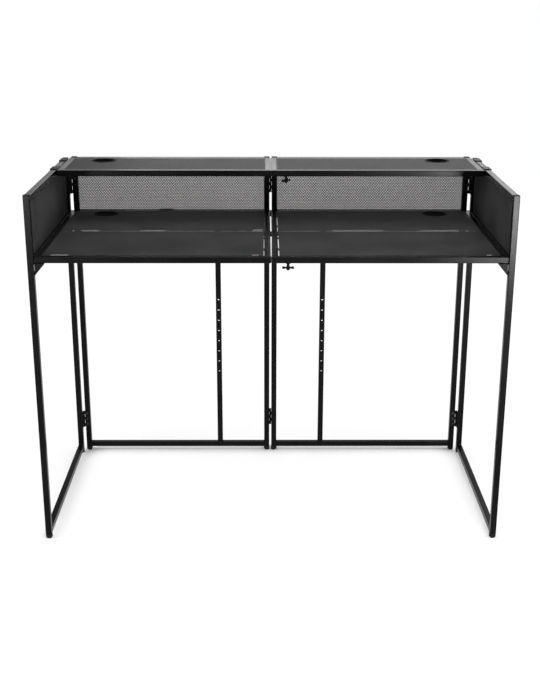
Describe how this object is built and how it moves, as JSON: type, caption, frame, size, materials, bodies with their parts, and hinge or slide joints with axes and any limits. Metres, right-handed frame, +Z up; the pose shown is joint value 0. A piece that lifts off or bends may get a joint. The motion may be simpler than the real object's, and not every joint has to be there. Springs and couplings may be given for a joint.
{
  "type": "folding dj booth",
  "caption": "Folding DJ booth of hinged square-tube panels with perforated sheets; a raised rear shelf and a deeper table drop in between its side wings.",
  "frame": {"origin": "on the floor, at the centre of the booth's footprint", "axes": "+X to the performer's right along the front panels, +Y towards the audience, +Z up"},
  "size_m": [1.511, 0.766, 1.1587],
  "materials": {
    "painted_tube": "black powder coat, satin",
    "perforated_sheet": "black powder coat, satin",
    "painted_fitting": "black powder coat, satin",
    "plated_steel": "black zinc",
    "black_plastic": "matt",
    "moulded_plastic": "low gloss",
    "black_rubber": "matt"
  },
  "bodies": {
    "left_front": {"left_front_uprights": "painted_tube", "left_front_rails": "painted_tube", "left_front_post": "painted_tube", "left_front_sheet": "perforated_sheet", "left_front_ledges": "painted_fitting", "left_front_feet": "black_plastic", "left_front_caps": "black_plastic", "left_corner_front_leaves": "painted_fitting", "left_corner_pins": "plated_steel", "left_front_rivets": "plated_steel", "left_centre_leaves": "painted_fitting", "centre_pins": "plated_steel", "centre_stop_pad": "black_rubber"},
    "left_wing": {"left_wing_uprights": "painted_tube", "left_wing_rails": "painted_tube", "left_wing_sheet": "perforated_sheet", "left_wing_brackets": "painted_fitting", "left_wing_feet": "black_plastic", "left_wing_caps": "black_plastic", "left_corner_wing_leaves": "painted_fitting", "left_wing_rivets": "plated_steel"},
    "left_shelf": {"left_shelf_frame": "painted_tube", "left_shelf_sheet": "perforated_sheet", "left_shelf_grommet": "moulded_plastic"},
    "left_table": {"left_table_frame": "painted_tube", "left_table_rear_sheet": "perforated_sheet", "left_table_front_sheet": "perforated_sheet", "left_table_grommet": "moulded_plastic", "table_buffer_pad": "black_rubber"},
    "right_front": {"right_front_uprights": "painted_tube", "right_front_rails": "painted_tube", "right_front_post": "painted_tube", "right_front_sheet": "perforated_sheet", "right_front_ledges": "painted_fitting", "right_front_feet": "black_plastic", "right_front_caps": "black_plastic", "right_corner_front_leaves": "painted_fitting", "right_corner_pins": "plated_steel", "right_front_rivets": "plated_steel", "right_centre_leaves": "painted_fitting"},
    "right_wing": {"right_wing_uprights": "painted_tube", "right_wing_rails": "painted_tube", "right_wing_sheet": "perforated_sheet", "right_wing_brackets": "painted_fitting", "right_wing_feet": "black_plastic", "right_wing_caps": "black_plastic", "right_corner_wing_leaves": "painted_fitting", "right_wing_rivets": "plated_steel"},
    "right_shelf": {"right_shelf_frame": "painted_tube", "right_shelf_sheet": "perforated_sheet", "right_shelf_grommet": "moulded_plastic"},
    "right_table": {"right_table_frame": "painted_tube", "right_table_rear_sheet": "perforated_sheet", "right_table_front_sheet": "perforated_sheet", "right_table_grommet": "moulded_plastic"},
    "shelf_joiner": {"shelf_joiner": "plated_steel"},
    "shelf_bolt": {"shelf_wing_bolt": "moulded_plastic"},
    "table_joiner": {"table_joiner": "plated_steel"},
    "table_bolt": {"table_wing_bolt": "moulded_plastic"}
  },
  "joints": [
    {"name": "centre_fold", "type": "hinge", "parent": "left_front", "child": "right_front", "pos_m": [0, 0.37953, 0.604], "axis": [0, 0, 1], "range_deg": [0, 180]},
    {"name": "left_wing_swing", "type": "hinge", "parent": "left_front", "child": "left_wing", "pos_m": [-0.7291, 0.35173, 0.604], "axis": [0, 0, -1], "range_deg": [0, 90]},
    {"name": "right_wing_swing", "type": "hinge", "parent": "right_front", "child": "right_wing", "pos_m": [0.7291, 0.35173, 0.604], "axis": [0, 0, 1], "range_deg": [0, 90]},
    {"name": "left_shelf_lift", "type": "slide", "parent": "left_front", "child": "left_shelf", "axis": [0, 0, 1], "range_m": [0, 0.3]},
    {"name": "right_shelf_lift", "type": "slide", "parent": "right_front", "child": "right_shelf", "axis": [0, 0, 1], "range_m": [0, 0.3]},
    {"name": "left_table_lift", "type": "slide", "parent": "left_front", "child": "left_table", "axis": [0, 0, 1], "range_m": [0, 0.055]},
    {"name": "right_table_lift", "type": "slide", "parent": "right_front", "child": "right_table", "axis": [0, 0, 1], "range_m": [0, 0.055]},
    {"name": "shelf_joiner_slide", "type": "slide", "parent": "right_shelf", "child": "shelf_joiner", "axis": [1, 0, 0], "range_m": [0, 0.042]},
    {"name": "table_joiner_slide", "type": "slide", "parent": "right_table", "child": "table_joiner", "axis": [1, 0, 0], "range_m": [0, 0.042]},
    {"name": "shelf_bolt_turn", "type": "hinge", "parent": "shelf_joiner", "child": "shelf_bolt", "pos_m": [0.0515, 0.07963, 1.1375], "axis": [0, 0, 1], "continuous": true},
    {"name": "table_bolt_turn", "type": "hinge", "parent": "table_joiner", "child": "table_bolt", "pos_m": [0.0515, -0.36338, 0.945], "axis": [0, 0, 1], "continuous": true}
  ],
  "couplings": [
    {"joint": "right_shelf_lift", "follows": "left_shelf_lift", "ratio": 1},
    {"joint": "right_table_lift", "follows": "left_table_lift", "ratio": 1}
  ]
}
